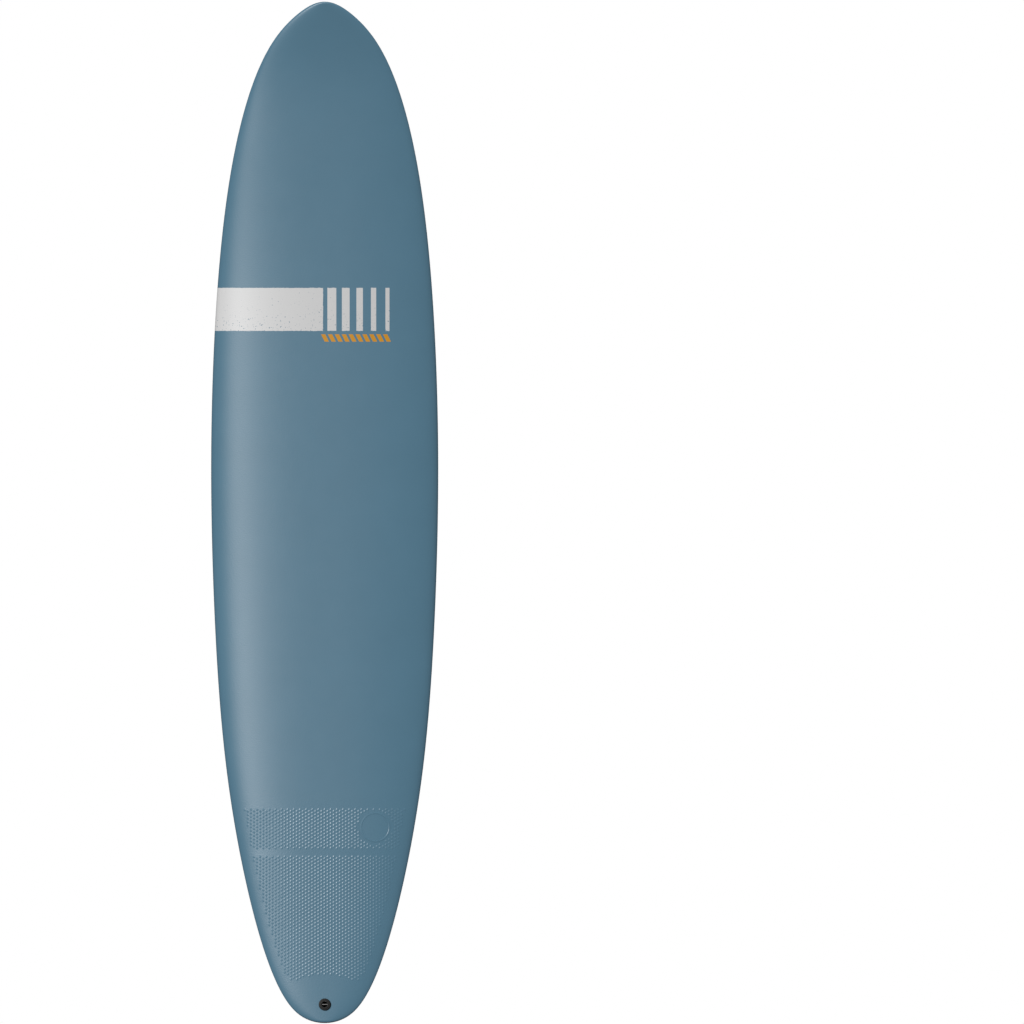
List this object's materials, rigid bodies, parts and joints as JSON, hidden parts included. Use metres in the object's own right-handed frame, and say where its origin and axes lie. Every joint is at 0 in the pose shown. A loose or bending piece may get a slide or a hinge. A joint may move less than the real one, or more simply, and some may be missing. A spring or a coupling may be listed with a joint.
{
  "type": "longboard surfboard",
  "caption": "Soft-top longboard with a pointed-round nose, narrow rounded tail, leash plug, slotted centre fin box and a raked single fin held by a screw and plate.",
  "frame": {"origin": "the middle of the tail tip, where the board stands upright on its tail", "axes": "+Z from tail to nose along the board, +Y from deck to bottom, so the fin points to +Y and the deck faces -Y, +X to the right of a viewer who faces the deck"},
  "size_m": [0.6096, 0.2888, 2.7426],
  "materials": {
    "deck_foam": "matte",
    "slick": "satin",
    "backing_foam": "matte",
    "core_foam": "matte",
    "plywood": "matte",
    "insert_foam": "matte",
    "box_plastic": "satin",
    "fin_plastic": "satin",
    "steel": "satin"
  },
  "bodies": {
    "board": {"deck_skin": "deck_foam", "bottom_slick": "slick", "backing_foam": "backing_foam", "core_left": "core_foam", "core_centre": "core_foam", "core_right": "core_foam", "stringer_left": "plywood", "stringer_right": "plywood", "fin_box": "box_plastic", "fin_box_block": "insert_foam", "leash_plug": "box_plastic", "leash_plug_block": "insert_foam", "leash_bar": "steel"},
    "fin_assembly": {"fin": "fin_plastic", "fin_cross_pin": "steel"},
    "screw": {"fin_screw": "steel"},
    "plate": {"fin_plate": "steel"}
  },
  "joints": [
    {"name": "fin_slide", "type": "slide", "parent": "board", "child": "fin_assembly", "axis": [0, 0.1072, 0.9942], "range_m": [-0.032, 0.011]},
    {"name": "screw_turn", "type": "hinge", "parent": "fin_assembly", "child": "screw", "pos_m": [0, 0.04048, 0.30634], "axis": [0, 0.9942, -0.1072], "range_deg": [0, 1080]},
    {"name": "plate_travel", "type": "slide", "parent": "fin_assembly", "child": "plate", "axis": [0, -0.9942, 0.1072], "range_m": [0, 0.0021]}
  ],
  "couplings": [
    {"joint": "screw_turn", "follows": "plate_travel", "rad_per_m": 8976}
  ]
}
